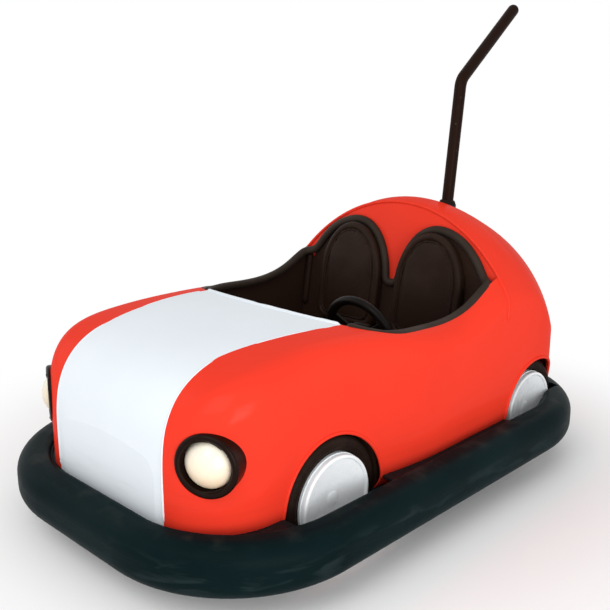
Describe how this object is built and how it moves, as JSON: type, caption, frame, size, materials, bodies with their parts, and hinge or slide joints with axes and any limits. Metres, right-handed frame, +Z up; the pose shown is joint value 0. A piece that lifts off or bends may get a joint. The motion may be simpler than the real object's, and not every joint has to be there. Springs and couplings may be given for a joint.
{
  "type": "bumper car",
  "caption": "Two-person fairground bumper car with a fat rubber ring, hollow cockpit, steered drive wheel and a bent contact pole.",
  "frame": {"origin": "on the floor, at the middle of the car's width and of its whole length with the contact pole", "axes": "+Z up, the car's nose points along -Y and its left side is +X"},
  "size_m": [1.24, 2.089, 1.598],
  "materials": {
    "bumper_rubber": "moulded black rubber, slightly blue, semi-matt",
    "body_red": "red gelcoat on glass fibre, polished",
    "panel_white": "white gelcoat on glass fibre, polished",
    "chassis_paint": "dark grey chassis enamel",
    "cockpit_lining": "dark brown grained lining",
    "seat_vinyl": "dark brown padded vinyl",
    "control_black": "dark moulded plastic",
    "bare_steel": "turned and zinc plated steel",
    "tyre_rubber": "dark brown-black rubber",
    "wheel_white": "white enamel",
    "motor_paint": "grey motor enamel",
    "lamp_black": "dark moulded bezel",
    "lamp_opal": "cream opal diffuser",
    "pole_paint": "dark brown enamel"
  },
  "bodies": {
    "chassis": {"bumper": "bumper_rubber", "perimeter_rail": "chassis_paint", "floor_pan": "chassis_paint", "chassis_frame": "chassis_paint", "bonnet_panel": "panel_white", "left_front_wing": "body_red", "right_front_wing": "body_red", "rear_body_shell": "body_red", "cockpit_liner": "cockpit_lining", "seat_base": "cockpit_lining", "seat_cushion": "seat_vinyl", "left_backrest": "seat_vinyl", "right_backrest": "seat_vinyl", "accelerator_pedal": "bare_steel", "column_sleeve": "chassis_paint", "steering_chain_case": "chassis_paint", "drive_bearing_ring": "chassis_paint", "rear_axle": "chassis_paint", "front_left_stub_axle": "chassis_paint", "front_right_stub_axle": "chassis_paint", "left_headlamp_bezel": "lamp_black", "right_headlamp_bezel": "lamp_black", "left_headlamp_lens": "lamp_opal", "right_headlamp_lens": "lamp_opal", "pole_collar": "chassis_paint", "contact_pole": "pole_paint", "contact_cap": "pole_paint"},
    "drive_unit": {"drive_fork": "chassis_paint", "drive_motor": "motor_paint"},
    "drive_wheel": {"drive_wheel_hub": "bare_steel", "drive_tyre": "tyre_rubber"},
    "steering": {"steering_wheel": "control_black", "steering_column": "bare_steel"},
    "front_left_road_wheel": {"front_left_wheel": "wheel_white", "front_left_tyre": "tyre_rubber", "front_left_hub_cap": "wheel_white"},
    "front_right_road_wheel": {"front_right_wheel": "wheel_white", "front_right_tyre": "tyre_rubber", "front_right_hub_cap": "wheel_white"},
    "rear_left_road_wheel": {"rear_left_wheel": "wheel_white", "rear_left_tyre": "tyre_rubber", "rear_left_hub_cap": "wheel_white"},
    "rear_right_road_wheel": {"rear_right_wheel": "wheel_white", "rear_right_tyre": "tyre_rubber", "rear_right_hub_cap": "wheel_white"}
  },
  "joints": [
    {"name": "drive_unit_turn", "type": "hinge", "parent": "chassis", "child": "drive_unit", "pos_m": [0, -0.5845, 0.128], "axis": [0, 0, 1], "continuous": true},
    {"name": "steering_wheel_turn", "type": "hinge", "parent": "chassis", "child": "steering", "pos_m": [0.16, -0.0545, 0.505], "axis": [0, 0.9703, 0.2419], "continuous": true},
    {"name": "drive_wheel_spin", "type": "hinge", "parent": "drive_unit", "child": "drive_wheel", "pos_m": [0, -0.5845, 0.125], "axis": [1, 0, 0], "continuous": true},
    {"name": "front_left_wheel_spin", "type": "hinge", "parent": "chassis", "child": "front_left_road_wheel", "pos_m": [0.4, -0.4895, 0.189], "axis": [1, 0, 0], "continuous": true},
    {"name": "front_right_wheel_spin", "type": "hinge", "parent": "chassis", "child": "front_right_road_wheel", "pos_m": [-0.4, -0.4895, 0.189], "axis": [1, 0, 0], "continuous": true},
    {"name": "rear_left_wheel_spin", "type": "hinge", "parent": "chassis", "child": "rear_left_road_wheel", "pos_m": [0.411, 0.5145, 0.182], "axis": [1, 0, 0], "continuous": true},
    {"name": "rear_right_wheel_spin", "type": "hinge", "parent": "chassis", "child": "rear_right_road_wheel", "pos_m": [-0.411, 0.5145, 0.182], "axis": [1, 0, 0], "continuous": true}
  ],
  "couplings": [
    {"joint": "steering_wheel_turn", "follows": "drive_unit_turn", "ratio": 1}
  ]
}
